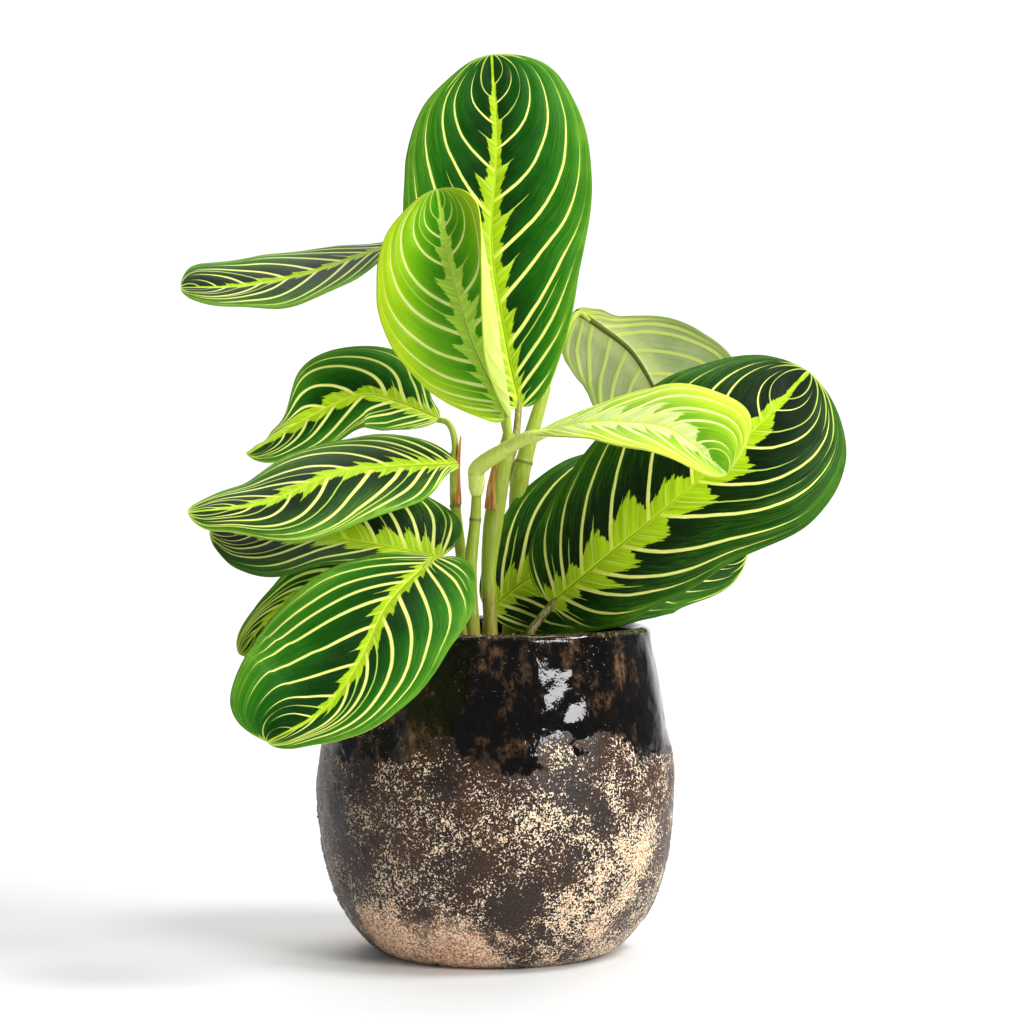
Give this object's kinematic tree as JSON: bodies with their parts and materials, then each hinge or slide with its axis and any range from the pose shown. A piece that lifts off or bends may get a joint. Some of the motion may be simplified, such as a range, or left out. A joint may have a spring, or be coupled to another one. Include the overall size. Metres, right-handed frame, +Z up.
{
  "type": "potted prayer plant",
  "caption": "Leafy house plant with broad oval striped leaves on thin jointed stems, growing in a rounded stoneware pot filled with soil.",
  "frame": {"origin": "middle of the pot's flat base, on the surface that it stands on", "axes": "+Z up along the pot's axis, +X to the right and +Y away from the viewer when the plant is seen from its front"},
  "size_m": [0.2779, 0.1866, 0.3803],
  "materials": {
    "stoneware": "gloss",
    "soil": "matte",
    "stem": "satin",
    "leaf": "satin",
    "young_leaf": "satin"
  },
  "bodies": {
    "root": {"pot": "stoneware", "soil": "soil", "stem_front": "stem", "stem_middle": "stem", "stem_back": "stem", "stem_left": "stem", "leaf_top": "leaf", "leaf_young_left": "young_leaf", "leaf_far_left": "leaf", "leaf_left_arched": "leaf", "leaf_left": "leaf", "leaf_left_low": "leaf", "leaf_left_small": "leaf", "leaf_front_left": "leaf", "leaf_right_front": "leaf", "leaf_right_low": "leaf", "leaf_back_right": "leaf", "leaf_young_front": "young_leaf"}
  },
  "joints": []
}
